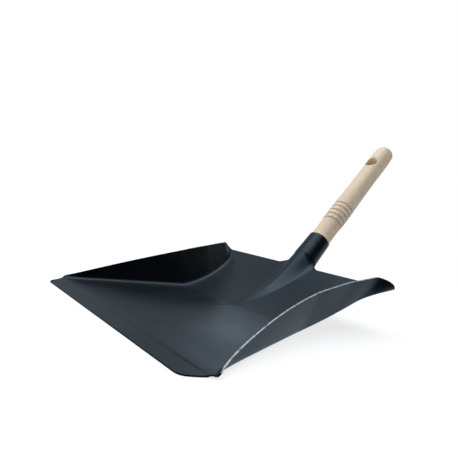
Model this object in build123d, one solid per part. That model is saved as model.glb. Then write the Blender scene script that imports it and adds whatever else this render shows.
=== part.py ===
"""Steel hand dustpan with a turned beech handle, in millimetres.

The pan is one pressing of thin sheet: a flat floor with a creased lip, two side walls that lean out
more towards the back, a ramp that rises to the open back edge, and a rib that grows out of the ramp
into a round socket. The handle's tang sits in that socket and one small tack holds it there.

It is modelled with the middle of the lip's front edge at the origin, X to the right, Y towards the
handle and Z up from the surface that the pan stands on. The pieces are moved together at the end, so
that the written origin is the middle of the underside of the whole object's box.
"""

from build123d import *
from math import atan, cos, radians, sin, tan
import os

os.makedirs("parts", exist_ok=True)

# Driving dimensions of the pressing
SHEET = 1.0
FRONT_HALF_WIDTH = 109.5
LIP_DEPTH = 15.5
LIP_HALF_WIDTH = 122.3
LIP_CORNER_RADIUS = 9.0
CREASE_FRONT = 12.6
CREASE_TOP = 15.0
CREASE_BACK = 34.0
CREASE_HALF_WIDTH = 105.0
CREASE_HEIGHT = 0.55
RAMP_Y = 134.5
RAMP_HALF_WIDTH = 81.6
BACK_Y = 225.5
RAMP_SLOPE = 0.19
RAMP_CURVE = 0.00278
RAMP_THICKENING = 0.2
RAMP_FLARE = 0.0021
HORN_FLARE_Y = 196.5
HORN_FLARE = 0.0135
FOLD_RADIUS = 4.6
FOLD_STRIP = 7.0

# Side walls: height of the top edge over the floor, and how far it leans out
WALL_FRONT_Z = 1.8
WALL_PEAK_Y = 205.5
WALL_PEAK_Z = 50.6
WALL_BOW_Z = 37.7
WALL_SPARE = 7.0
LEAN_FRONT = 0.08
LEAN_FRONT_CURVE = 0.0000248
LEAN_RAMP = 0.43
LEAN_RAMP_GAIN = 0.0010
LEAN_HORN_Y = 204.0
LEAN_HORN_CURVE = 0.0008
SIDE_MARGIN = 5.0
SIDE_REACH = 200.0

# Rib: where it starts to be hollow, how deep it stands in the sheet, and its arch's control points
# as shares of its half width and of its rise
RIB_HOLLOW_Y = 139.5
RIB_FOOT_SHARE = 0.3
RIB_CUT_DEPTH = 4.0
RIB_TOP_INSET = 1.3
RIB_FLANK = 0.65
RIB_SHOULDER = 0.50
RIB_SHOULDER_RISE = 1.25
RIB_CROWN_RISE = 1.325

# Neck between the back edge and the socket
NECK_HALF_WIDTH = 26.0
NECK_SIDE_RADIUS = 13.9
NECK_TOP_Y = 236.5
NECK_BEND_X = 3.0
NECK_BEND_Y = 2.5

# Socket and handle: the axis leaves the pan in the middle plane
AXIS_ANGLE = 46.9
RIM_Y = 258.3
RIM_Z = 71.6
SOCKET_RADIUS = 12.8
SOCKET_FLARE = 0.035
SOCKET_DEPTH = 67.0
TUBE_LENGTH = 32.5
HANDLE_LENGTH = 177.0
TANG_LENGTH = 33.0
TANG_END_RADIUS = 10.2
COLLAR_LENGTH = 1.2
END_FACE_RADIUS = 5.0
END_FACE_CROWN = 0.4
GROOVE_COUNT = 5
FIRST_GROOVE = 29.5
GROOVE_PITCH = 6.7
GROOVE_RADIUS = 0.9
GROOVED_RADIUS = 12.5
GROOVE_OFFSET = 0.35
HOLE_PLACE = 139.0
HOLE_RADIUS = 7.2
TACK_PLACE = 14.0
TACK_LENGTH = 12.0
TACK_RADIUS = 0.9
TACK_HEAD_RADIUS = 2.6
TACK_HEAD_HEIGHT = 0.9
TACK_HEAD_ROUNDING = 0.6

ALONG = Vector(0, cos(radians(AXIS_ANGLE)), sin(radians(AXIS_ANGLE)))
RIM = Vector(0, RIM_Y, RIM_Z)


def ramp_height(y):
    """Height of the ramp's underside at depth y."""
    run = max(y - RAMP_Y, 0.0)
    return RAMP_SLOPE * run + RAMP_CURVE * run**2


def fold_half_width(y):
    """Half the width between the two folds at the foot of the walls."""
    if y <= RAMP_Y:
        share = (y - LIP_DEPTH) / (RAMP_Y - LIP_DEPTH)
        return LIP_HALF_WIDTH + share * (RAMP_HALF_WIDTH - LIP_HALF_WIDTH)
    run = y - RAMP_Y
    horn_run = max(y - HORN_FLARE_Y, 0.0)
    return RAMP_HALF_WIDTH + RAMP_FLARE * run**2 + HORN_FLARE * horn_run**2


def wall_lean(y):
    """Tangent of the wall's lean from upright: nearly upright in front, well splayed at the back."""
    if y <= RAMP_Y:
        return LEAN_FRONT + LEAN_FRONT_CURVE * (y - LIP_DEPTH) ** 2
    horn_run = max(y - LEAN_HORN_Y, 0.0)
    return LEAN_RAMP + LEAN_RAMP_GAIN * (y - RAMP_Y) + LEAN_HORN_CURVE * horn_run**2


def wall_top(y):
    """Height of the wall's top edge: one shallow curve from the lip to the peak of the horn."""
    share = (y - LIP_DEPTH) / (WALL_PEAK_Y - LIP_DEPTH)
    return (
        WALL_FRONT_Z * (1 - share) ** 2
        + 2 * WALL_BOW_Z * share * (1 - share)
        + WALL_PEAK_Z * share**2
    )


def sheet_at(y):
    """Sheet thickness measured upright, which grows a little where the ramp is steeper."""
    return SHEET * (1.0 + RAMP_THICKENING * max(y - RAMP_Y, 0.0) / (BACK_Y - RAMP_Y))


def fold_points(y, foot):
    """One side of a cross-section, as two rows of points (x, z): the outer and the inner skin.

    Each row runs start of the foot, start, middle and end of the fold's arc, top of the wall.
    """
    base = ramp_height(y)
    thick = sheet_at(y)
    corner = fold_half_width(y)
    lean = atan(wall_lean(y))
    turn = radians(90) - lean
    outer = FOLD_RADIUS + thick
    tangent = outer * tan(turn / 2)
    height = (wall_top(y) + WALL_SPARE - base) / cos(lean)
    centre_x = corner - tangent
    centre_z = base + outer
    across = Vector(cos(lean), -sin(lean))
    middle = (across + Vector(0, -1)).normalized()
    rows = []
    for radius, inset in ((outer, 0.0), (FOLD_RADIUS, thick)):
        top_x = corner + height * sin(lean) - inset * cos(lean)
        top_z = base + height * cos(lean) + inset * sin(lean)
        rows.append(
            [
                (foot, base + inset),
                (centre_x, base + inset),
                (centre_x + radius * middle.X, centre_z + radius * middle.Y),
                (centre_x + radius * across.X, centre_z + radius * across.Y),
                (top_x, top_z),
            ]
        )
    return rows


def place(point, y, side=1):
    """A cross-section point (x, z) at depth y."""
    return Vector(side * point[0], y, point[1])


def skin_edges(row, y, side):
    """Foot, arc and wall of one skin, from the foot outwards."""
    points = [place(p, y, side) for p in row]
    return [
        Line(points[0], points[1]),
        ThreePointArc(points[1], points[2], points[3]),
        Line(points[3], points[4]),
    ]


def strip_section(y, side):
    """Closed section of one side's strip: a short foot, the fold and the wall."""
    outer, inner = fold_points(y, fold_half_width(y) - FOLD_STRIP)
    edges = skin_edges(outer, y, side) + skin_edges(inner, y, side)
    edges.append(Line(place(outer[-1], y, side), place(inner[-1], y, side)))
    edges.append(Line(place(outer[0], y, side), place(inner[0], y, side)))
    return Wire(edges)


def trough_section(y):
    """Closed section of the ramp with both of its walls."""
    outer, inner = fold_points(y, 0.0)
    edges = []
    for row in (outer, inner):
        edges.append(Line(place(row[1], y, -1), place(row[1], y, 1)))
        for side in (-1, 1):
            edges.extend(skin_edges(row, y, side)[1:])
    for side in (-1, 1):
        edges.append(Line(place(outer[-1], y, side), place(inner[-1], y, side)))
    return Wire(edges)


def floor_plate():
    """Flat floor between the folds, with the chamfered lip and its shallow crease."""
    foot_front = LIP_HALF_WIDTH - FOLD_STRIP
    foot_back = RAMP_HALF_WIDTH - FOLD_STRIP
    half = [
        (FRONT_HALF_WIDTH, 0.0),
        (LIP_HALF_WIDTH, LIP_DEPTH),
        (foot_front, LIP_DEPTH),
        (foot_back, RAMP_Y),
    ]
    outline = half + [(-x, y) for x, y in reversed(half)]
    plate = extrude(make_face(Polyline(*outline, close=True)), SHEET)
    corners = plate.edges().filter_by(Axis.Z).group_by(Axis.Y)[0]
    plate = fillet(corners, LIP_CORNER_RADIUS)
    tent = [(CREASE_FRONT, 0.0), (CREASE_TOP, CREASE_HEIGHT), (CREASE_BACK, 0.0)]
    profile = make_face(Plane.YZ * Polyline(*tent, close=True))
    crease = extrude(profile, CREASE_HALF_WIDTH, both=True)
    return plate + Pos(0, 0, SHEET) * crease - crease


def side_view():
    """Outline that trims the walls, seen from the side: the top edge, the horn and the back edge."""
    back = (BACK_Y, ramp_height(BACK_Y) + sheet_at(BACK_Y))
    front = (LIP_DEPTH, WALL_FRONT_Z)
    peak = (WALL_PEAK_Y, WALL_PEAK_Z)
    bow = ((LIP_DEPTH + WALL_PEAK_Y) / 2, WALL_BOW_Z)
    below = [(BACK_Y, -SIDE_MARGIN), (-SIDE_MARGIN, -SIDE_MARGIN), (-SIDE_MARGIN, WALL_FRONT_Z)]
    edges = [
        Polyline(back, *below, front),
        Bezier(front, bow, peak),
        Bezier(peak, ((WALL_PEAK_Y + BACK_Y) / 2, WALL_PEAK_Z), back),
    ]
    return extrude(Plane.YZ * make_face(edges), SIDE_REACH, both=True)


def neck():
    """Flat web that carries the ramp on past the back edge, hollow-sided, up to the socket's sides."""
    slope = RAMP_SLOPE + 2 * RAMP_CURVE * (BACK_Y - RAMP_Y)
    low = ramp_height(BACK_Y)
    rise = slope * (NECK_TOP_Y - BACK_Y)
    thick = sheet_at(BACK_Y)
    strip = [
        (BACK_Y, low),
        (NECK_TOP_Y, low + rise),
        (NECK_TOP_Y, low + rise + thick),
        (BACK_Y, low + thick),
    ]
    web = extrude(Plane.YZ * make_face(Polyline(*strip, close=True)), NECK_HALF_WIDTH, both=True)
    bend = (NECK_SIDE_RADIUS + NECK_BEND_X, BACK_Y + NECK_BEND_Y)
    root = (NECK_HALF_WIDTH, BACK_Y)
    tip = (NECK_SIDE_RADIUS, NECK_TOP_Y)
    outline = [
        Line((-root[0], root[1]), root),
        Bezier(root, bend, tip),
        Line(tip, (-tip[0], tip[1])),
        Bezier((-tip[0], tip[1]), (-bend[0], bend[1]), (-root[0], root[1])),
    ]
    return web & extrude(make_face(outline), SIDE_REACH)


def shell():
    """Floor, walls and ramp as one sheet, without the rib and the socket."""
    strip_stations = [LIP_DEPTH, 45.0, 75.0, 105.0, RAMP_Y]
    ramp_stations = [RAMP_Y, 155.0, 175.0, 193.0, 207.0, 218.0, 229.0]
    sheet = floor_plate()
    for side in (-1, 1):
        sheet += Solid.make_loft([strip_section(y, side) for y in strip_stations])
    sheet += Solid.make_loft([trough_section(y) for y in ramp_stations])
    return (sheet & side_view()) + neck()


def rib_section(y, half_width, rise, inset):
    """Arched section of the rib at depth y, standing in the ramp's sheet, or of the space under it."""
    base = ramp_height(y) + sheet_at(y)
    foot = base - (sheet_at(y) + RIB_CUT_DEPTH if inset else sheet_at(y) * RIB_FOOT_SHARE)
    wide = half_width - inset
    low = base - inset
    arch = rise - RIB_TOP_INSET * inset + inset
    crown = [
        Vector(-wide, y, low),
        Vector(-RIB_FLANK * wide, y, low),
        Vector(-RIB_SHOULDER * wide, y, low + RIB_SHOULDER_RISE * arch),
        Vector(0, y, low + RIB_CROWN_RISE * arch),
        Vector(RIB_SHOULDER * wide, y, low + RIB_SHOULDER_RISE * arch),
        Vector(RIB_FLANK * wide, y, low),
        Vector(wide, y, low),
    ]
    left = Vector(-wide, y, foot)
    right = Vector(wide, y, foot)
    return Wire([Bezier(*crown), Line(crown[-1], right), Line(right, left), Line(left, crown[0])])


def rib(inset=0.0):
    """The rib from its low nose, which isn't hollow, to where it is as high as the socket."""
    stations = [
        (122.0, 6.0, 0.3),
        (129.0, 6.8, 0.6),
        (136.0, 7.6, 0.9),
        (143.0, 8.5, 1.2),
        (150.0, 9.5, 1.5),
        (162.0, 11.5, 2.1),
        (174.0, 13.5, 3.4),
        (185.0, 15.0, 5.0),
        (196.0, 16.2, 7.6),
        (206.0, 17.2, 11.0),
        (216.0, 18.0, 15.0),
    ]
    if inset:
        stations = [station for station in stations if station[0] > RIB_HOLLOW_Y]
    return Solid.make_loft([rib_section(y, wide, rise, inset) for y, wide, rise in stations])


def axis_plane(along):
    """Plane square to the handle's axis, at a distance along it from the socket's rim."""
    return Plane(origin=RIM + ALONG * along, x_dir=(1, 0, 0), z_dir=ALONG)


def socket_body(inset=0.0, spare=0.0):
    """Outer cone of the socket, or with an inset the space inside it."""
    top = SOCKET_RADIUS - inset
    bottom = top + SOCKET_FLARE * SOCKET_DEPTH
    circles = [
        axis_plane(spare) * Circle(top),
        axis_plane(-SOCKET_DEPTH - spare) * Circle(bottom),
    ]
    return loft(circles, ruled=True)


def under_ramp():
    """Everything below the ramp and its neck, in front of the socket's square lower end."""
    tube_end = RIM - ALONG * TUBE_LENGTH
    reach = 60.0
    far = tube_end + Vector(0, ALONG.Z, -ALONG.Y) * reach
    depths = [RAMP_Y, 150.0, 165.0, 180.0, 195.0, 210.0, BACK_Y]
    curve = [(y, ramp_height(y)) for y in depths]
    front = (RAMP_Y - 30, 0)
    end_slope = RAMP_SLOPE + 2 * RAMP_CURVE * (BACK_Y - RAMP_Y)
    below = [(tube_end.Y, tube_end.Z), (far.Y, far.Z), (far.Y, -reach), (front[0], -reach)]
    edges = [
        Spline(*curve, tangents=[(1, RAMP_SLOPE), (1, end_slope)]),
        Polyline(curve[-1], *below, front),
        Line(front, curve[0]),
    ]
    return extrude(Plane.YZ * make_face(edges), reach, both=True)


def pan():
    """The whole pressing, with the rib and the socket hollow underneath."""
    outside = shell() + rib() + (socket_body() - under_ramp())
    inside = rib(SHEET) + socket_body(SHEET, spare=1.0)
    return outside - inside


def handle():
    """Turned handle with its tang, drawn as half a profile and turned about the axis."""
    inner = SOCKET_RADIUS - SHEET
    grip = [
        (11.75, 4.0),
        (11.4, 14.0),
        (11.45, 24.0),
        (12.0, FIRST_GROOVE - 0.5),
        (GROOVED_RADIUS, 39.0),
        (GROOVED_RADIUS, 51.0),
        (12.0, 85.0),
        (11.8, 117.0),
        (12.2, 143.0),
        (12.1, 161.0),
        (11.5, 170.0),
    ]
    end_face = (END_FACE_RADIUS, HANDLE_LENGTH - END_FACE_CROWN)
    profile = [
        Polyline((0, -TANG_LENGTH), (TANG_END_RADIUS, -TANG_LENGTH), (inner, 0), (SOCKET_RADIUS, 0)),
        Line((SOCKET_RADIUS, 0), (SOCKET_RADIUS, COLLAR_LENGTH)),
        Spline((SOCKET_RADIUS, COLLAR_LENGTH), *grip),
        ThreePointArc(grip[-1], (9.8, 174.4), end_face),
        Line(end_face, (0, HANDLE_LENGTH)),
        Line((0, HANDLE_LENGTH), (0, -TANG_LENGTH)),
    ]
    turned = revolve(Plane.XZ * make_face(profile), Axis.Z)
    for index in range(GROOVE_COUNT):
        place_z = FIRST_GROOVE + index * GROOVE_PITCH
        turned -= Pos(0, 0, place_z) * Torus(GROOVED_RADIUS + GROOVE_OFFSET, GROOVE_RADIUS)
    hole = Pos(0, 0, HOLE_PLACE) * Rot(90, 0, 0) * Cylinder(HOLE_RADIUS, 4 * GROOVED_RADIUS)
    return axis_plane(0.0) * (turned - hole)


def tack():
    """Round-headed tack, driven square to the axis from under the socket."""
    outside = SOCKET_RADIUS + SOCKET_FLARE * TACK_PLACE
    shank = Pos(0, 0, outside - TACK_LENGTH / 2) * Cylinder(TACK_RADIUS, TACK_LENGTH)
    head = Pos(0, 0, outside) * Cylinder(
        TACK_HEAD_RADIUS, TACK_HEAD_HEIGHT, align=(Align.CENTER, Align.CENTER, Align.MIN)
    )
    head = fillet(head.edges().sort_by(Axis.Z)[-1], TACK_HEAD_ROUNDING)
    down = Vector(0, sin(radians(AXIS_ANGLE)), -cos(radians(AXIS_ANGLE)))
    seat = Plane(origin=RIM - ALONG * TACK_PLACE, x_dir=(1, 0, 0), z_dir=down)
    return seat * (shank + head)


def build():
    """Cut the tack's hole, centre the whole object over its box and write each piece."""
    tack_solid = tack()
    pieces = {
        "pan": pan() - tack_solid,
        "handle": handle() - tack_solid,
        "handle_tack": tack_solid,
    }
    box = Compound([solid for piece in pieces.values() for solid in piece.solids()]).bounding_box()
    shift = Pos(-box.center().X, -box.center().Y, -box.min.Z)
    print("moved by", shift.position)
    for name, piece in pieces.items():
        export_step(shift * piece, f"parts/{name}.step")


if __name__ == "__main__":
    build()
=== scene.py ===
"""Looks for the steel hand dustpan: a pressed, painted pan and a turned beech handle.

Shapes are worked out in millimetres with the middle of the lip's front edge at the origin, X to the
right, Y towards the handle and Z up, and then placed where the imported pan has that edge.
"""

import math

import bmesh
import bpy
import numpy as np
from mathutils import Matrix, Vector


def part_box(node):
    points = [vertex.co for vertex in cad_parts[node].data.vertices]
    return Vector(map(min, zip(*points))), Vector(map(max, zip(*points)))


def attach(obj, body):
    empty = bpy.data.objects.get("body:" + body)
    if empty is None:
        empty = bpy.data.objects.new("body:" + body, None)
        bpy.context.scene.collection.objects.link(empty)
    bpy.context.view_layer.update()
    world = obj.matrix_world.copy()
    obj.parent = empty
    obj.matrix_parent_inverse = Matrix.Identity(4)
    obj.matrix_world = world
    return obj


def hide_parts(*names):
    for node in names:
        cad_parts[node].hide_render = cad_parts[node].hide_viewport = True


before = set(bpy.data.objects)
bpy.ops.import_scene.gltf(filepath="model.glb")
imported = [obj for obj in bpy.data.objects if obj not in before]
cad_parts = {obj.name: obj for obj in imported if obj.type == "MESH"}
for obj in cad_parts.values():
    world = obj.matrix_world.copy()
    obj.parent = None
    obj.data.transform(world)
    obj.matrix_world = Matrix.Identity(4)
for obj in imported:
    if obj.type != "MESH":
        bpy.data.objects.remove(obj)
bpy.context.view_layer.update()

MM = 0.001
PAN_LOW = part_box("pan")[0]
FRONT = Vector((0.0, PAN_LOW.y, PAN_LOW.z))

# Pressing
SHEET = 1.0
FRONT_HALF_WIDTH = 109.5
LIP_DEPTH = 15.5
LIP_HALF_WIDTH = 119.4
FLOOR_FRONT_HALF_WIDTH = 119.8
LIP_CORNER_RADIUS = 9.0
CREASE_FRONT = 12.6
CREASE_TOP = 15.0
CREASE_BACK = 34.0
CREASE_HEIGHT = 0.55
RAMP_Y = 134.5
RAMP_HALF_WIDTH = 81.6
RAMP_BEND = 4.0
BACK_Y = 225.5
RAMP_SLOPE = 0.19
RAMP_CURVE = 0.00278
RAMP_THICKENING = 0.2
RAMP_FLARE = 0.0021
HORN_FLARE_RUN = 62.0
HORN_FLARE = 0.0135
TAPER_EASE = 2.5
FOLD_RADIUS = 4.6
WALL_FRONT_Z = 2.5
WALL_BOW_Z = 37.7
WALL_PEAK_Y = 205.5
WALL_PEAK_Z = 50.6
RIB_START = 108.0
NECK_HALF_WIDTH = 26.0
NECK_BEND = 5.6
NECK_TURN = 0.78
CUT_EDGE_SPAN = 0.35
BEVEL_WIDTH = 0.26

# Lean of the side walls from upright, as a tangent: in front, at the lip's corner, on the ramp, at the horn
LEAN_FRONT = 0.08
LEAN_FRONT_SLOPE = 0.0006
LEAN_FRONT_CURVE = 0.000019
LEAN_LIP = 1.4
LEAN_LIP_FADE = 5.5
LEAN_RAMP = 0.43
LEAN_EASE = 0.03
LEAN_HORN = 0.07
LEAN_HORN_START = 172.0
LEAN_HORN_END = 198.0
LEAN_TIP_Y = 204.0
LEAN_TIP_CURVE = 0.0021

# Draw wrinkles: distance from the middle, depth y, turn, length, width and how deep they are pressed
WRINKLES = (
    (86.0, 207.0, math.radians(59.0), 9.0, 1.5, 1.0),
    (75.2, 203.0, math.radians(83.0), 6.0, 1.4, 0.9),
)

# Socket and handle
AXIS_ANGLE = math.radians(46.9)
RIM_Y = 258.3
RIM_Z = 71.6
SOCKET_RADIUS = 12.8
SOCKET_FLARE = 0.035
TUBE_LENGTH = 32.5
RING_START = 27.0
SEAM_GAP = 0.5
HANDLE_LENGTH = 177.0
TANG_LENGTH = 33.0
GROOVE_COUNT = 5
FIRST_GROOVE = 29.5
GROOVE_PITCH = 6.7
GROOVE_DEPTH = 0.72
GROOVE_WIDTH = 0.62
HOLE_PLACE = 139.0
HOLE_RADIUS = 7.2

# Columns of the pan's grid on each side of the middle
ARCH_COLUMNS = 16
FLANGE_COLUMNS = 5
FLOOR_COLUMNS = 20
FOLD_COLUMNS = 8
WALL_COLUMNS = 12
UNDER_COLUMNS = 14

ALONG = np.array([math.cos(AXIS_ANGLE), math.sin(AXIS_ANGLE)])
RIM = np.array([RIM_Y, RIM_Z])


# ---------------------------------------------------------------- the pan's surface


def smoothstep(low, high, value):
    share = min(max((value - low) / (high - low), 0.0), 1.0)
    return share * share * (3.0 - 2.0 * share)


def run_up(y):
    """Distance up the ramp, eased over the bend at its foot."""
    run = y - RAMP_Y
    if run <= -RAMP_BEND:
        return 0.0
    if run >= RAMP_BEND:
        return run
    return (run + RAMP_BEND) ** 2 / (4.0 * RAMP_BEND)


def sheet_at(y):
    """Sheet thickness measured upright, which grows a little where the ramp is steeper."""
    return SHEET * (1.0 + RAMP_THICKENING * max(y - RAMP_Y, 0.0) / (BACK_Y - RAMP_Y))


def ramp_middle(y):
    """Height of the middle of the sheet, with the raised crease behind the lip."""
    run = run_up(y)
    crease = smoothstep(CREASE_FRONT, CREASE_TOP, y) * (1.0 - smoothstep(CREASE_TOP, CREASE_BACK, y))
    return RAMP_SLOPE * run + RAMP_CURVE * run**2 + 0.5 * sheet_at(y) + CREASE_HEIGHT * crease


def fold_half_width(y):
    """Half width of the floor out to where it would meet the wall: it narrows to the ramp's foot."""
    taper = (FLOOR_FRONT_HALF_WIDTH - RAMP_HALF_WIDTH) / (RAMP_Y - LIP_DEPTH)
    eased_run = TAPER_EASE * math.log1p(math.exp((RAMP_Y - y) / TAPER_EASE))
    run = run_up(y)
    horn_run = max(run - HORN_FLARE_RUN, 0.0)
    return RAMP_HALF_WIDTH + taper * eased_run + RAMP_FLARE * run**2 + HORN_FLARE * horn_run**2


def wall_lean(y):
    """Angle of the side wall's lean from upright."""
    behind_lip = max(y - LIP_DEPTH, 0.0)
    ahead = LEAN_FRONT + LEAN_FRONT_SLOPE * behind_lip + LEAN_FRONT_CURVE * behind_lip**2
    gap = abs(ahead - LEAN_RAMP)
    lean = min(ahead, LEAN_RAMP) - LEAN_EASE * math.log1p(math.exp(-gap / LEAN_EASE))
    lean += LEAN_LIP * math.exp(-behind_lip / LEAN_LIP_FADE)
    lean += LEAN_HORN * smoothstep(LEAN_HORN_START, LEAN_HORN_END, y)
    lean += LEAN_TIP_CURVE * max(y - LEAN_TIP_Y, 0.0) ** 2
    return math.atan(lean)


def wall_top(y):
    """Height of the wall's top edge: a shallow curve, then the rounded horn and its rear edge."""
    share = min((y - LIP_DEPTH) / (WALL_PEAK_Y - LIP_DEPTH), 1.0)
    curve = (
        WALL_FRONT_Z * (1.0 - share) ** 2
        + 2.0 * WALL_BOW_Z * share * (1.0 - share)
        + WALL_PEAK_Z * share**2
    )
    curve -= math.exp(-max(y - LIP_DEPTH, 0.0) / 4.0)
    share = max(y - WALL_PEAK_Y, 0.0) / (BACK_Y - WALL_PEAK_Y)
    return curve - (WALL_PEAK_Z - ramp_middle(BACK_Y)) * share**1.9


def lip_edge(y):
    """Half width of the lip's outline: the rounded front corner, then the slanted side."""
    slant = math.atan2(LIP_DEPTH, LIP_HALF_WIDTH - FRONT_HALF_WIDTH)
    start = LIP_CORNER_RADIUS * math.tan(slant / 2.0)
    bend_end = LIP_CORNER_RADIUS * (1.0 - math.cos(slant))
    if y < bend_end:
        drop = LIP_CORNER_RADIUS - y
        return FRONT_HALF_WIDTH - start + math.sqrt(LIP_CORNER_RADIUS**2 - drop**2)
    return FRONT_HALF_WIDTH + y / math.tan(slant)


def resample(points, count, first=0.0, last=0.0):
    """The polyline cut into count equal spans, with a narrow extra span at either end if asked."""
    points = np.asarray(points)
    steps = np.hypot(*np.diff(points, axis=0).T)
    length = np.concatenate([[0.0], np.cumsum(steps)])
    total = length[-1]
    marks = np.linspace(0.0, total, count + 1)
    if first and total > 4.0 * first:
        marks[1:] = np.linspace(first, total, count)
    if last and total > 4.0 * last:
        marks = np.concatenate([np.linspace(0.0, total - last, count), [total]])
    return np.column_stack([np.interp(marks, length, points[:, k]) for k in (0, 1)])


def side_profile(y):
    """Points (x, z) of the fold and the wall on the right side, from the fold's start to the edge."""
    thick = sheet_at(y)
    lean = wall_lean(y)
    fade = smoothstep(7.0, 24.0, y)
    turn = fade * (math.pi / 2.0 - lean)
    outer = FOLD_RADIUS + thick
    middle = FOLD_RADIUS + thick / 2.0
    start = fold_half_width(y) - outer * math.tan(turn / 2.0)
    if y < LIP_DEPTH + 1.0:
        start = min(start, lip_edge(y) - 2.6)
    base = ramp_middle(y)
    angles = np.linspace(0.0, turn, 24)
    arc = np.column_stack([start + middle * np.sin(angles), base + middle * (1.0 - np.cos(angles))])
    reach = arc[-1] + 70.0 * np.array([math.cos(turn), math.sin(turn)])
    line = np.linspace(arc[-1], reach, 400)[1:]
    points = np.vstack([[start - 0.001, base], arc, line])
    steps = np.concatenate([[0.0], np.cumsum(np.hypot(*np.diff(points, axis=0).T))])
    by_edge = np.interp(lip_edge(max(y, 0.0)), points[:, 0], steps)
    by_height = np.interp(max(wall_top(y), base + 0.01), points[:, 1], steps)
    share = smoothstep(12.5, 18.5, y)
    total = (1.0 - share) * by_edge + share * by_height
    keep = steps < total
    end = [np.interp(total, steps, points[:, k]) for k in (0, 1)]
    return np.vstack([points[keep], end])


def arch_profile(wide, tall, depth):
    """Points (x, w) from the crest of an ellipse, whose centre is depth below the sheet, to the sheet."""
    turns = np.linspace(0.0, math.acos(min(depth / tall, 1.0)), 48)
    return np.column_stack([wide * np.sin(turns), tall * np.cos(turns) - depth])


def rib_profile(wide, height, crest_radius, foot_radius):
    """Points (x, w) of a rib with even flanks, rounded over its crest and into the sheet at its foot."""
    both = crest_radius + foot_radius

    def rise(angle):
        return both * (1.0 - math.cos(angle)) + (wide - both * math.sin(angle)) * math.tan(angle)

    low, high = 0.0, math.asin(min(wide / both, 0.98))
    for _ in range(40):
        angle = (low + high) / 2.0
        if rise(angle) < height:
            low = angle
        else:
            high = angle
    turns = np.linspace(0.0, low, 20)
    crest = np.column_stack([crest_radius * np.sin(turns), height - crest_radius * (1.0 - np.cos(turns))])
    foot = np.column_stack([wide - foot_radius * np.sin(turns), foot_radius * (1.0 - np.cos(turns))])
    return np.vstack([crest, foot[::-1]])


def tube_middle(along):
    """Radius of the middle of the socket's sheet, at a distance down from the rim."""
    return SOCKET_RADIUS + SOCKET_FLARE * along - 0.5 * SHEET


def cone_reach(along, tilt):
    """Distance from the axis up to the socket's sheet, along a line tilted towards the rim."""
    return tube_middle(along) / (math.cos(tilt) + SOCKET_FLARE * math.sin(tilt))


def crest_over_ramp(y):
    """Height of the rib's crest over the sheet: the socket's own line, eased into a long low nose."""
    along = (RIM_Y - y - ALONG[1] * tube_middle(35.0)) / ALONG[0]
    line = RIM_Z - ALONG[1] * along + ALONG[0] * tube_middle(along)
    excess = line - ramp_middle(y)
    ease = 5.4 - 3.4 * smoothstep(196.0, BACK_Y, y)
    rise = max(excess, 0.0) + ease * math.log1p(math.exp(-abs(excess) / ease))
    nose = 1.7 * smoothstep(RIB_START, 168.0, y) * (1.0 - smoothstep(176.0, 214.0, y))
    return rise * smoothstep(RAMP_Y, 162.0, y) + nose


def rib_half_width(y):
    """Half width of the rib at its feet."""
    run = max(y - 120.0, 0.0)
    return 4.5 + 0.07 * run + 0.00063 * run**2


def rib_section(y, height):
    """The rib's profile at depth y, rounder over its crest towards the back edge."""
    ease = smoothstep(190.0, BACK_Y, y)
    return rib_profile(rib_half_width(y), height, 5.0 + 4.0 * ease, 4.0)


def wrinkle(x, y):
    """Two small draw wrinkles pressed down beside the fold in each rear corner."""
    drop = 0.0
    for place_x, place_y, turn, long, wide, deep in WRINKLES:
        dx, dy = abs(x) - place_x, y - place_y
        along = dx * math.cos(turn) + dy * math.sin(turn)
        across = -dx * math.sin(turn) + dy * math.cos(turn)
        drop -= deep * math.exp(-((along / long) ** 2) - (across / wide) ** 2)
    return drop


def spread(start, end, columns, height):
    """Points (x, height) in even steps from start to end."""
    return np.column_stack([np.linspace(start, end, columns + 1), np.full(columns + 1, height)])


def pan_row(y):
    """Right half of the row at depth y, as points (x, y, z) from the middle to the edge."""
    base = ramp_middle(y)
    side = side_profile(y)
    arch = resample(rib_section(y, crest_over_ramp(y)), ARCH_COLUMNS)
    arch[:, 1] += base
    foot = arch[-1, 0]
    flange = spread(foot, NECK_HALF_WIDTH, FLANGE_COLUMNS, base)
    floor = spread(NECK_HALF_WIDTH, side[0, 0], FLOOR_COLUMNS, base)
    edge = resample(side, FOLD_COLUMNS + WALL_COLUMNS, last=CUT_EDGE_SPAN)
    points = np.vstack([arch, flange[1:], floor[1:], edge[1:]])
    rows = []
    for x, z in points:
        drop = wrinkle(x, y) if y > RAMP_Y and z < base + 12.0 else 0.0
        rows.append((x, y, z + drop))
    return np.array(rows)


def row_depths():
    """Depths of the pan's rows: close together at the lip, the bend and the two edges."""
    lip = [0.0, 0.15, 0.5, 1.1, 2.0, 3.0, 4.1, 5.5, 7.0, 8.5, 9.6, 10.5]
    crease = list(np.arange(11.2, 19.0, 0.5))
    floor = [19.4, 20.4, 21.6, 23.0, 24.6] + list(np.linspace(26.5, RAMP_Y - RAMP_BEND, 24))
    bend = list(np.linspace(RAMP_Y - RAMP_BEND, RAMP_Y + RAMP_BEND, 9))[1:]
    ramp = list(np.linspace(RAMP_Y + RAMP_BEND, 196.0, 22))[1:]
    rear = list(np.linspace(196.0, BACK_Y - 0.6, 22))[1:]
    return lip + crease + floor + bend + ramp + rear + [BACK_Y - 0.25, BACK_Y]


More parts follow.
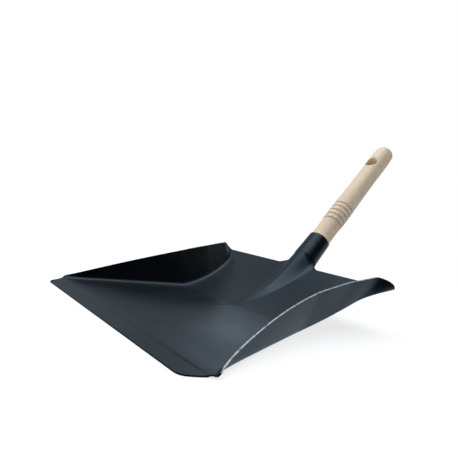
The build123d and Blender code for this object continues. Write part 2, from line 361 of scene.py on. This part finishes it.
def neck_rows(count=12, upper=4):
    """Rows that fan from the back edge to a ring square to the socket's axis.

    Each is (right half points, right under-side points or None).
    """
    start = np.array([BACK_Y, ramp_middle(BACK_Y)])
    slope = RAMP_SLOPE + 2.0 * RAMP_CURVE * (BACK_Y - RAMP_Y)
    end = RIM - ALONG * TUBE_LENGTH
    bend = start + np.array([1.0, slope]) * NECK_BEND
    side_end = tube_middle(TUBE_LENGTH)
    foot_start = rib_half_width(BACK_Y)
    square = AXIS_ANGLE + math.pi / 2.0
    rows = []
    for index in range(1, count + 1):
        share = index / count
        base = (1 - share) ** 2 * start + 2 * share * (1 - share) * bend + share**2 * end
        angle = math.pi / 2.0 + share * (square - math.pi / 2.0) * NECK_TURN
        up = np.array([math.cos(angle), math.sin(angle)])
        # where this row's line meets the axis
        reach = np.linalg.solve(np.column_stack([up, ALONG]), RIM - base)
        depth = -reach[0] if index < count else 0.0
        along = reach[1]
        wide = tube_middle(along)
        tall = cone_reach(along, square - angle)
        height = tall - max(depth, 0.0)
        round_arch = resample(arch_profile(wide, tall, max(depth, 0.0)), ARCH_COLUMNS)
        foot = (1.0 - share) * foot_start + share * round_arch[-1, 0]
        rib_arch = resample(rib_profile(foot, height, 9.0, 4.0), ARCH_COLUMNS)
        blend = smoothstep(0.0, 1.0, share)
        arch = (1.0 - blend) * rib_arch + blend * round_arch
        edge = (1 - share) ** 2 * NECK_HALF_WIDTH + share**2 * side_end
        edge += 2 * share * (1 - share) * (side_end + 2.0)
        edge = max(edge, arch[-1, 0])
        flange = spread(arch[-1, 0], edge, FLANGE_COLUMNS, 0.0)
        half = np.vstack([arch, flange[1:]])
        rows.append((stand_up(half, base, up), ring_under(TUBE_LENGTH) if index == count else None))
    for index in range(1, upper + 1):
        share = index / upper
        along = TUBE_LENGTH + share * (RING_START - TUBE_LENGTH)
        angle = square + (1.0 - share) * (1.0 - NECK_TURN) * (math.pi / 2.0 - square)
        rows.append(ring_row(along, angle))
    return rows


def stand_up(half, base, up):
    """Points (x, w) set up from a base (y, z), with w along the direction up (y, z)."""
    return np.column_stack([half[:, 0], base[0] + half[:, 1] * up[0], base[1] + half[:, 1] * up[1]])


def ring_row(along, angle=AXIS_ANGLE + math.pi / 2.0):
    """A row of the socket's tube: its upper half at that tilt, and its lower half square to the axis."""
    base = RIM - ALONG * along
    up = np.array([math.cos(angle), math.sin(angle)])
    wide = tube_middle(along)
    tall = cone_reach(along, AXIS_ANGLE + math.pi / 2.0 - angle)
    arch = resample(arch_profile(wide, tall, 0.0), ARCH_COLUMNS)
    return stand_up(arch, base, up), ring_under(along)


def ring_under(along):
    """Lower quarter of a ring of the tube, from its side to the edge of the seam."""
    base = RIM - ALONG * along
    radius = tube_middle(along)
    gap = SEAM_GAP / radius * (0.5 + 0.5 * along / TUBE_LENGTH)
    turns = np.linspace(math.pi / 2.0, math.pi - gap, UNDER_COLUMNS + 1)[1:]
    down = np.cos(turns) * radius
    return np.column_stack([radius * np.sin(turns), base[0] - ALONG[1] * down, base[1] + ALONG[0] * down])


def pan_mesh():
    """The pressing's middle surface as one grid, as lists of vertices and faces."""
    vertices, faces, rows = [], [], []

    def add(half, under=None):
        """Adds a row and keeps its vertex numbers, in order from the left edge to the right edge."""
        mirrored = [(-x, y, z) for x, y, z in half[:0:-1]]
        first = len(vertices)
        vertices.extend(mirrored + [tuple(p) for p in half])
        middle = list(range(first, first + 2 * len(half) - 1))
        right, left = [], []
        if under is not None:
            first = len(vertices)
            vertices.extend([tuple(p) for p in under])
            right = list(range(first, first + len(under)))
            first = len(vertices)
            vertices.extend([(-x, y, z) for x, y, z in under])
            left = list(range(first, first + len(under)))
        rows.append((middle, left, right))

    for y in row_depths():
        add(pan_row(y))
    for half, under in neck_rows():
        add(half, under)
    for along in list(np.linspace(RING_START, 0.7, 16))[1:] + [0.3, 0.0]:
        add(*ring_row(along))

    def chain(row, reach):
        """Vertex numbers within reach columns of the middle, with the under side if the row has it."""
        middle, left, right = row
        centre = len(middle) // 2
        part = middle[centre - reach : centre + reach + 1]
        return left[::-1] + part + right if left else part

    for one, two in zip(rows, rows[1:]):
        reach = min(len(one[0]), len(two[0])) // 2
        if one[1]:
            reach = ARCH_COLUMNS
        part_one, part_two = chain(one, reach), chain(two, reach)
        if len(part_two) > len(part_one):
            extra = (len(part_two) - len(part_one)) // 2
            part_two = part_two[extra : len(part_two) - extra]
        for a, b, c, d in zip(part_one, part_one[1:], part_two[1:], part_two):
            faces.append((a, b, c, d))
    return vertices, faces


def to_frame(point):
    """A place in millimetres from the lip's front edge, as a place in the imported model's frame."""
    return FRONT + Vector(point) * MM


def make_object(name, vertices, faces):
    mesh = bpy.data.meshes.new(name)
    mesh.from_pydata(vertices, [], faces)
    piece = bpy.data.objects.new(name, mesh)
    bpy.context.scene.collection.objects.link(piece)
    return piece


def apply_modifiers(piece):
    """Bakes the piece's modifiers into its own mesh."""
    graph = bpy.context.evaluated_depsgraph_get()
    mesh = bpy.data.meshes.new_from_object(piece.evaluated_get(graph))
    piece.modifiers.clear()
    piece.data = mesh
    for face in mesh.polygons:
        face.use_smooth = True


def make_pan():
    """The pressing: its middle surface made thick, with softened edges."""
    vertices, faces = pan_mesh()
    piece = make_object("pan_pressing", [to_frame(v) for v in vertices], faces)
    grid = bmesh.new()
    grid.from_mesh(piece.data)
    bmesh.ops.remove_doubles(grid, verts=grid.verts, dist=0.00002)
    bmesh.ops.recalc_face_normals(grid, faces=grid.faces)
    middle = min(grid.faces, key=lambda f: (f.calc_center_median() - to_frame((0, 60, 0.5))).length)
    if middle.normal.z < 0:
        bmesh.ops.reverse_faces(grid, faces=grid.faces)
    relax_neck(grid)
    grid.to_mesh(piece.data)
    grid.free()
    piece.data.materials.append(paint_material())
    piece.data.materials.append(cut_edge_material())
    thick = piece.modifiers.new("thickness", "SOLIDIFY")
    thick.thickness = SHEET * MM
    thick.offset = 0.0
    thick.use_even_offset = True
    thick.material_offset_rim = 1
    apply_modifiers(piece)
    mark_cut_edges(piece.data)
    edge = piece.modifiers.new("edge", "BEVEL")
    edge.width = BEVEL_WIDTH * MM
    edge.material = 0
    edge.segments = 2
    edge.limit_method = "ANGLE"
    edge.angle_limit = math.radians(50.0)
    edge.harden_normals = True
    apply_modifiers(piece)
    return piece


def relax_neck(grid, rounds=10):
    """Evens out the sheet where the rib turns into the socket."""
    for step in range(rounds):
        shrink = 0.8 * step
        near = []
        for vertex in grid.verts:
            place = (vertex.co - FRONT) / MM
            along = (RIM_Y - place.y) * ALONG[0] + (RIM_Z - place.z) * ALONG[1]
            inside = 7.0 + shrink < along and place.y > 204.0 + shrink
            if inside and abs(place.x) < 22.0 - 0.3 * shrink and not vertex.is_boundary:
                near.append(vertex)
        bmesh.ops.smooth_vert(
            grid, verts=near, factor=0.5, use_axis_x=True, use_axis_y=True, use_axis_z=True
        )


def mark_cut_edges(mesh):
    """Keeps the bare cut edge on the tops of the side walls, and paints the sheet's other edges."""
    for face in mesh.polygons:
        if face.material_index == 0:
            continue
        place = (face.center - FRONT) / MM
        on_wall = LIP_DEPTH + 3.0 < place.y < WALL_PEAK_Y - 4.0 and abs(place.x) > RAMP_HALF_WIDTH
        face.material_index = 1 if on_wall else 0


# ---------------------------------------------------------------- the handle


def eased(places, values, at):
    """Smooth curve through a few values (Fritsch-Carlson slopes, so that it never overshoots)."""
    places, values = np.array(places, float), np.array(values, float)
    steps = np.diff(places)
    rises = np.diff(values) / steps
    slopes = np.zeros(len(values))
    for k in range(1, len(values) - 1):
        if rises[k - 1] * rises[k] > 0:
            slopes[k] = 2.0 * rises[k - 1] * rises[k] / (rises[k - 1] + rises[k])
    slopes[0], slopes[-1] = rises[0], rises[-1]
    k = np.clip(np.searchsorted(places, at) - 1, 0, len(steps) - 1)
    t = (at - places[k]) / steps[k]
    a, b = values[k], values[k + 1]
    p, q = slopes[k] * steps[k], slopes[k + 1] * steps[k]
    from_a = (2 * t**3 - 3 * t**2 + 1) * a + (t**3 - 2 * t**2 + t) * p
    return from_a + (-2 * t**3 + 3 * t**2) * b + (t**3 - t**2) * q


GRIP_PLACES = (1.2, 4.0, 14.0, 24.0, 29.0, 39.0, 51.0, 85.0, 117.0, 143.0, 161.0, 169.5)
GRIP_RADII = (12.7, 11.75, 11.4, 11.45, 12.0, 12.5, 12.5, 12.0, 11.8, 12.2, 12.1, 11.6)
END_DOME = HANDLE_LENGTH - GRIP_PLACES[-1]


def handle_profile():
    """Rows (distance along the axis from the rim, radius, darkening of a groove)."""
    rows = [(-TANG_LENGTH, 0.0, 0.0), (-TANG_LENGTH, 9.6, 0.0), (-TANG_LENGTH + 0.8, 10.4, 0.0)]
    for along in np.linspace(-TANG_LENGTH + 1.6, -0.4, 10):
        share = (along + TANG_LENGTH) / TANG_LENGTH
        rows.append((along, 10.5 + share * (SOCKET_RADIUS - SHEET - 10.5) - 0.02, 0.0))
    rows += [(0.02, SOCKET_RADIUS - SHEET - 0.02, 0.0)]
    rows += [(0.04, 12.45, 0.0), (0.25, 12.66, 0.0), (0.7, 12.77, 0.0)]
    places = list(np.linspace(1.2, 28.0, 30))
    for index in range(GROOVE_COUNT):
        centre = FIRST_GROOVE + index * GROOVE_PITCH
        places += list(centre + np.linspace(-1.15, 1.15, 15))
        if index < GROOVE_COUNT - 1:
            places += list(centre + np.linspace(1.9, GROOVE_PITCH - 1.9, 4))
    places += list(np.linspace(FIRST_GROOVE + GROOVE_COUNT * GROOVE_PITCH - 4.6, GRIP_PLACES[-1], 60))
    for along in places:
        radius = float(eased(GRIP_PLACES, GRIP_RADII, along))
        nearest = min(abs(along - FIRST_GROOVE - k * GROOVE_PITCH) for k in range(GROOVE_COUNT))
        cut = math.exp(-((nearest / GROOVE_WIDTH) ** 2))
        rows.append((along, radius - GROOVE_DEPTH * cut, cut))
    for turn in np.linspace(0.0, math.pi / 2.0, 14)[1:-1]:
        along = GRIP_PLACES[-1] + END_DOME * math.sin(turn)
        rows.append((along, GRIP_RADII[-1] * math.cos(turn) ** 0.72, 0.0))
    rows.append((HANDLE_LENGTH, 0.0, 0.0))
    return rows


def make_handle(segments=96):
    """Turned in its own frame with the axis along Z, so that the grain runs along Z."""
    profile = handle_profile()
    vertices, faces, dark = [(0.0, 0.0, profile[0][0] * MM)], [], [0.0]
    for along, radius, cut in profile[1:-1]:
        for k in range(segments):
            turn = 2.0 * math.pi * k / segments
            vertices.append((radius * math.cos(turn) * MM, radius * math.sin(turn) * MM, along * MM))
            dark.append(cut)
    vertices.append((0.0, 0.0, profile[-1][0] * MM))
    dark.append(0.0)
    rings = len(profile) - 2
    last = len(vertices) - 1
    for k in range(segments):
        nxt = (k + 1) % segments
        faces.append((0, 1 + nxt, 1 + k))
        faces.append((last, 1 + (rings - 1) * segments + k, 1 + (rings - 1) * segments + nxt))
        for ring in range(rings - 1):
            a = 1 + ring * segments
            faces.append((a + k, a + nxt, a + segments + nxt, a + segments + k))
    piece = make_object("handle_beech", vertices, faces)
    groove = piece.data.attributes.new("groove", "FLOAT", "POINT")
    groove.data.foreach_set("value", dark)
    drill = make_drill()
    cut = piece.modifiers.new("hole", "BOOLEAN")
    cut.operation = "DIFFERENCE"
    cut.solver = "EXACT"
    cut.object = drill
    apply_modifiers(piece)
    bpy.data.objects.remove(drill)
    tidy = bmesh.new()
    tidy.from_mesh(piece.data)
    bmesh.ops.remove_doubles(tidy, verts=tidy.verts, dist=0.00001)
    bmesh.ops.dissolve_degenerate(tidy, edges=tidy.edges, dist=0.00001)
    tidy.to_mesh(piece.data)
    tidy.free()
    piece.data.materials.clear()
    piece.data.materials.append(beech_material())
    # Y goes up and to the front and Z along the axis, so a right-handed turn needs X flipped
    turned = Matrix((
        (-1.0, 0.0, 0.0),
        (0.0, -ALONG[1], ALONG[0]),
        (0.0, ALONG[0], ALONG[1]),
    )).to_4x4()
    piece.data.transform(Matrix.Translation(to_frame((0.0, RIM_Y, RIM_Z))) @ turned)
    return piece


def make_drill(segments=48):
    """The hanging hole's tool: a round bar along Y that flares where it leaves the wood."""
    rows = [(-16.0, 12.0), (-12.0, 8.3), (-10.8, 7.75), (-9.8, 7.38), (-8.9, HOLE_RADIUS)]
    rows += [(-along, radius) for along, radius in reversed(rows)]
    vertices, faces = [], []
    for along, radius in rows:
        for k in range(segments):
            turn = 2.0 * math.pi * k / segments
            height = HOLE_PLACE + radius * math.sin(turn)
            vertices.append((radius * math.cos(turn) * MM, along * MM, height * MM))
    for row in range(len(rows) - 1):
        for k in range(segments):
            a, nxt = row * segments, (k + 1) % segments
            faces.append((a + k, a + segments + k, a + segments + nxt, a + nxt))
    faces.append(tuple(range(segments)))
    faces.append(tuple(reversed(range((len(rows) - 1) * segments, len(rows) * segments))))
    drill = make_object("hole_tool", vertices, faces)
    solid = bmesh.new()
    solid.from_mesh(drill.data)
    bmesh.ops.recalc_face_normals(solid, faces=solid.faces)
    solid.to_mesh(drill.data)
    solid.free()
    return drill


# ---------------------------------------------------------------- materials


class Nodes:
    """Short way to write a material's nodes."""

    def __init__(self, name, tilt=0.0):
        self.tilt = tilt
        self.material = bpy.data.materials.new(name)
        self.material.use_nodes = True
        self.tree = self.material.node_tree
        self.shader = self.tree.nodes["Principled BSDF"]

    def add(self, kind, **inputs):
        """A node with its inputs set by name; an input given a socket is linked to it."""
        node = self.tree.nodes.new(kind)
        for name, value in inputs.items():
            self.put(node.inputs[name], value)
        return node

    def put(self, socket, value):
        if isinstance(value, bpy.types.NodeSocket):
            self.tree.links.new(value, socket)
        else:
            socket.default_value = value

    def place(self, scale=(1.0, 1.0, 1.0)):
        """The object's own coordinates, in metres, turned so that Z is the grain's way, and stretched."""
        where = self.add("ShaderNodeTexCoord")
        turned = self.add("ShaderNodeMapping", Rotation=(self.tilt, 0.0, 0.0))
        self.put(turned.inputs["Vector"], where.outputs["Object"])
        mapping = self.add("ShaderNodeMapping", Scale=scale)
        self.put(mapping.inputs["Vector"], turned.outputs["Vector"])
        return mapping.outputs["Vector"]

    def noise(self, scale, stretch=(1.0, 1.0, 1.0), detail=3.0, rough=0.5, distortion=0.0):
        node = self.add("ShaderNodeTexNoise", Scale=scale, Detail=detail, Roughness=rough)
        node.inputs["Distortion"].default_value = distortion
        self.put(node.inputs["Vector"], self.place(stretch))
        return node.outputs["Fac"]

    def ramp(self, value, low, high, to_low=0.0, to_high=1.0):
        node = self.add("ShaderNodeMapRange")
        node.interpolation_type = "SMOOTHSTEP"
        limits = {"From Min": low, "From Max": high, "To Min": to_low, "To Max": to_high}
        for name, number in limits.items():
            node.inputs[name].default_value = number
        self.put(node.inputs["Value"], value)
        return node.outputs["Result"]

    def math(self, operation, one, two=0.0):
        node = self.add("ShaderNodeMath")
        node.operation = operation
        self.put(node.inputs[0], one)
        self.put(node.inputs[1], two)
        return node.outputs[0]

    def mix(self, share, one, two):
        node = self.add("ShaderNodeMix")
        node.data_type = "RGBA"
        self.put(node.inputs[0], share)
        self.put(node.inputs[6], one)
        self.put(node.inputs[7], two)
        return node.outputs[2]

    def near(self, point, radius):
        """1 at a point of the object's own space, 0 beyond the radius."""
        where = self.add("ShaderNodeTexCoord")
        gap = self.add("ShaderNodeVectorMath")
        gap.operation = "DISTANCE"
        self.put(gap.inputs[0], where.outputs["Object"])
        gap.inputs[1].default_value = point
        return self.ramp(gap.outputs["Value"], 0.0, radius, 1.0, 0.0)

    def bump(self, height, strength, distance):
        node = self.add("ShaderNodeBump", Strength=strength, Distance=distance)
        self.put(node.inputs["Height"], height)
        return node.outputs["Normal"]


def rgb(red, green, blue):
    return (red, green, blue, 1.0)


def paint_material():
    """Blue-black semi-gloss enamel, with fine orange peel, sweeping scuffs and worn front corners."""
    n = Nodes("black_enamel")
    cloud = n.noise(14.0, detail=4.0, rough=0.55)
    scuff = n.noise(260.0, stretch=(1.0, 0.09, 1.0), detail=4.0, rough=0.6)
    speck = n.noise(2600.0, detail=2.0)
    dust = n.ramp(scuff, 0.52, 0.78)
    colour = n.mix(n.ramp(cloud, 0.35, 0.7), rgb(0.0016, 0.0021, 0.0028), rgb(0.0024, 0.0030, 0.0038))
    colour = n.mix(n.math("MULTIPLY", dust, 0.35), colour, rgb(0.008, 0.009, 0.010))
    corners = None
    for side in (-1.0, 1.0):
        spot = n.near(to_frame((side * 116.0, 13.0, 2.0)), 0.011)
        corners = spot if corners is None else n.math("ADD", corners, spot)
    patchy = n.math("MULTIPLY", corners, n.ramp(n.noise(420.0, detail=4.0), 0.4, 0.6))
    colour = n.mix(n.math("MULTIPLY", patchy, 0.85), colour, rgb(0.035, 0.019, 0.011))
    n.put(n.shader.inputs["Base Color"], colour)
    rough = n.ramp(cloud, 0.3, 0.7, 0.30, 0.38)
    rough = n.math("ADD", rough, n.math("MULTIPLY", dust, 0.06))
    rough = n.math("ADD", rough, n.math("MULTIPLY", patchy, 0.3))
    n.put(n.shader.inputs["Roughness"], rough)
    n.shader.inputs["IOR"].default_value = 1.5
    n.shader.inputs["Specular IOR Level"].default_value = 0.5
    n.shader.inputs["Specular Tint"].default_value = rgb(0.74, 0.89, 1.0)
    peel = n.math("ADD", n.noise(900.0, detail=2.0), n.math("MULTIPLY", speck, 0.3))
    n.put(n.shader.inputs["Normal"], n.bump(peel, 0.12, 0.0003))
    return n.material


def cut_edge_material():
    """The sheared edge of the sheet, bright where the paint has gone."""
    n = Nodes("cut_edge")
    chips = n.ramp(n.noise(240.0, detail=5.0, rough=0.65), 0.36, 0.50)
    n.put(n.shader.inputs["Base Color"], n.mix(chips, rgb(0.10, 0.11, 0.12), rgb(0.40, 0.41, 0.42)))
    n.put(n.shader.inputs["Metallic"], n.ramp(chips, 0.0, 1.0, 0.2, 0.55))
    n.put(n.shader.inputs["Roughness"], n.ramp(n.noise(900.0), 0.3, 0.7, 0.35, 0.5))
    n.put(n.shader.inputs["Normal"], n.bump(n.noise(1800.0, stretch=(1.0, 0.2, 1.0)), 0.2, 0.0002))
    return n.material


def beech_material():
    """Pale unvarnished beech: long soft grain, short dark flecks and a darker colour in the grooves."""
    n = Nodes("beech", tilt=math.pi / 2.0 - AXIS_ANGLE)
    band = n.noise(26.0, stretch=(1.0, 1.0, 0.06), detail=3.0, distortion=0.4)
    line = n.noise(330.0, stretch=(1.0, 1.0, 0.035), detail=4.0, rough=0.6)
    fleck = n.noise(900.0, stretch=(1.0, 1.0, 0.11), detail=2.0)
    colour = n.mix(n.ramp(band, 0.35, 0.68), rgb(0.62, 0.475, 0.345), rgb(0.54, 0.395, 0.275))
    colour = n.mix(n.ramp(line, 0.50, 0.72, 0.0, 0.45), colour, rgb(0.44, 0.305, 0.20))
    colour = n.mix(n.ramp(fleck, 0.63, 0.72, 0.0, 0.55), colour, rgb(0.30, 0.19, 0.115))
    # Colour made darker in the turned grooves, using the groove attribute that the handle's profile gives
    groove = n.add("ShaderNodeAttribute")
    groove.attribute_name = "groove"
    groove_darkening = n.ramp(groove.outputs["Fac"], 0.15, 0.9, 0.0, 0.75)
    colour = n.mix(groove_darkening, colour, rgb(0.20, 0.13, 0.075))
    n.put(n.shader.inputs["Base Color"], colour)
    n.put(n.shader.inputs["Roughness"], n.ramp(line, 0.3, 0.7, 0.52, 0.66))
    n.shader.inputs["Specular IOR Level"].default_value = 0.35
    height = n.math("ADD", n.math("MULTIPLY", line, 0.7), n.math("MULTIPLY", fleck, 0.4))
    n.put(n.shader.inputs["Normal"], n.bump(height, 0.25, 0.0002))
    return n.material


def tack_material():
    """Dull bright steel, cloudy where it has begun to tarnish."""
    n = Nodes("tack_steel")
    cloud = n.noise(1500.0, detail=3.0)
    colour = n.mix(n.ramp(cloud, 0.35, 0.65), rgb(0.42, 0.42, 0.43), rgb(0.26, 0.25, 0.24))
    n.put(n.shader.inputs["Base Color"], colour)
    n.shader.inputs["Metallic"].default_value = 1.0
    n.put(n.shader.inputs["Roughness"], n.ramp(cloud, 0.3, 0.7, 0.28, 0.45))
    n.put(n.shader.inputs["Normal"], n.bump(n.noise(4000.0), 0.15, 0.0001))
    return n.material


# ---------------------------------------------------------------- studio


def floor_material():
    """Pale studio floor that turns white with distance, so that it meets the backdrop unseen."""
    n = Nodes("studio_floor")
    colour = n.mix(n.ramp(n.noise(3.0), 0.3, 0.7), rgb(0.90, 0.90, 0.90), rgb(0.88, 0.88, 0.88))
    n.put(n.shader.inputs["Base Color"], colour)
    n.shader.inputs["Roughness"].default_value = 0.9
    n.shader.inputs["Specular IOR Level"].default_value = 0.1
    glow = n.add("ShaderNodeEmission")
    glow.inputs["Color"].default_value = rgb(1.0, 1.0, 1.0)
    glow.inputs["Strength"].default_value = 1.0
    path = n.add("ShaderNodeLightPath")
    far = n.math("SUBTRACT", 1.0, n.math("MULTIPLY", n.near((0.0, 0.0, 0.0), 1.6), 0.22))
    share = n.math("MULTIPLY", far, path.outputs["Is Camera Ray"])
    both = n.add("ShaderNodeMixShader")
    n.put(both.inputs[0], share)
    n.put(both.inputs[1], n.shader.outputs[0])
    n.put(both.inputs[2], glow.outputs[0])
    out = n.tree.nodes["Material Output"]
    n.put(out.inputs["Surface"], both.outputs[0])
    return n.material


def make_floor():
    """A wide plane just under the pan."""
    size, below = 30.0, -0.0002
    corners = [(-size, -size, below), (size, -size, below), (size, size, below), (-size, size, below)]
    floor = make_object("studio_floor_plane", corners, [(0, 1, 2, 3)])
    floor.data.materials.append(floor_material())
    floor.visible_glossy = False


WORLD_BASE = 0.03
LOBES = (
    # direction, width (cosine where it starts and where it is full), strength
    ((0.0, 0.05, 1.0), (0.78, 1.0), 2.5),
    ((-0.62, 0.25, 0.74), (0.60, 1.0), 0.28),
    ((-0.72, 0.62, 0.32), (0.80, 1.0), 0.16),
    ((-0.66, 0.70, 0.27), (0.982, 1.0), 0.90),
    ((0.20, 0.90, 0.37), (0.70, 1.0), 0.18),
    ((0.12, 0.88, -0.45), (0.60, 0.92), 0.60),
    ((-0.55, -0.75, 0.40), (0.30, 0.95), 0.45),
)


def make_world():
    """Soft light from above and from the left; the backdrop itself is plain white."""
    world = bpy.data.worlds.new("studio")
    bpy.context.scene.world = world
    world.use_nodes = True
    tree = world.node_tree
    tree.nodes.clear()
    where = tree.nodes.new("ShaderNodeTexCoord")
    total = None
    for direction, (start, full), strength in LOBES:
        dot = tree.nodes.new("ShaderNodeVectorMath")
        dot.operation = "DOT_PRODUCT"
        dot.inputs[1].default_value = Vector(direction).normalized()
        tree.links.new(where.outputs["Generated"], dot.inputs[0])
        lobe = tree.nodes.new("ShaderNodeMapRange")
        lobe.interpolation_type = "SMOOTHSTEP"
        lobe.inputs["From Min"].default_value = start
        lobe.inputs["From Max"].default_value = full
        lobe.inputs["To Max"].default_value = strength
        tree.links.new(dot.outputs["Value"], lobe.inputs["Value"])
        add = tree.nodes.new("ShaderNodeMath")
        add.inputs[0].default_value = WORLD_BASE
        if total is not None:
            tree.links.new(total, add.inputs[0])
        tree.links.new(lobe.outputs["Result"], add.inputs[1])
        total = add.outputs[0]
    soft = tree.nodes.new("ShaderNodeBackground")
    tree.links.new(total, soft.inputs["Strength"])
    soft.inputs["Color"].default_value = (0.72, 0.87, 1.0, 1.0)
    white = tree.nodes.new("ShaderNodeBackground")
    white.inputs["Color"].default_value = (1.0, 1.0, 1.0, 1.0)
    path = tree.nodes.new("ShaderNodeLightPath")
    both = tree.nodes.new("ShaderNodeMixShader")
    tree.links.new(path.outputs["Is Camera Ray"], both.inputs[0])
    tree.links.new(soft.outputs[0], both.inputs[1])
    tree.links.new(white.outputs[0], both.inputs[2])
    out = tree.nodes.new("ShaderNodeOutputWorld")
    tree.links.new(both.outputs[0], out.inputs["Surface"])


def make_light(name, place, aim, size, power):
    """A soft rectangular lamp that gloss doesn't mirror."""
    light = bpy.data.lights.new(name, "AREA")
    light.shape = "RECTANGLE"
    light.size, light.size_y = size
    light.energy = power
    lamp = bpy.data.objects.new(name, light)
    lamp.location = place
    lamp.visible_glossy = False
    lamp.rotation_euler = (Vector(aim) - Vector(place)).to_track_quat("-Z", "Y").to_euler()
    bpy.context.scene.collection.objects.link(lamp)


def make_lights():
    make_light("key", (-0.9, -0.9, 1.1), (0.0, 0.0, 0.05), (0.9, 0.9), 11.0)
    make_light("top", (0.0, 0.1, 1.5), (0.0, 0.0, 0.0), (1.6, 1.6), 17.0)


# Camera: stands in front and to the right, a hand's width above the floor, rolled a little
CAMERA_PLACE = (267.64, -120.13, 86.6)
CAMERA_TURN = math.radians(48.42)
CAMERA_DOWN = math.radians(2.14)
CAMERA_ROLL = math.radians(8.26)
CAMERA_LENS = 30.50


def make_camera():
    """Camera from its place, turn, downward tilt and roll."""
    lens = bpy.data.cameras.new("camera")
    lens.sensor_width = 36.0
    lens.lens = CAMERA_LENS
    lens.clip_start = 0.01
    lens.clip_end = 100.0
    camera = bpy.data.objects.new("camera", lens)
    forward = Vector((
        -math.sin(CAMERA_TURN) * math.cos(CAMERA_DOWN),
        math.cos(CAMERA_TURN) * math.cos(CAMERA_DOWN),
        -math.sin(CAMERA_DOWN),
    ))
    level = Vector((math.cos(CAMERA_TURN), math.sin(CAMERA_TURN), 0.0))
    upright = level.cross(forward)
    right = level * math.cos(CAMERA_ROLL) + upright * math.sin(CAMERA_ROLL)
    up = right.cross(forward)
    turn = Matrix((right, up, -forward)).transposed()
    camera.matrix_world = Matrix.Translation(to_frame(CAMERA_PLACE)) @ turn.to_4x4()
    bpy.context.scene.collection.objects.link(camera)
    bpy.context.scene.camera = camera


# ---------------------------------------------------------------- scene

bpy.context.scene.view_settings.view_transform = "Standard"
make_camera()
make_world()
make_lights()
make_floor()

pan = make_pan()
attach(pan, "root")
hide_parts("pan")

handle = make_handle()
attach(handle, "root")
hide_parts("handle")

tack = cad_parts["handle_tack"]
tack.data.materials.clear()
tack.data.materials.append(tack_material())
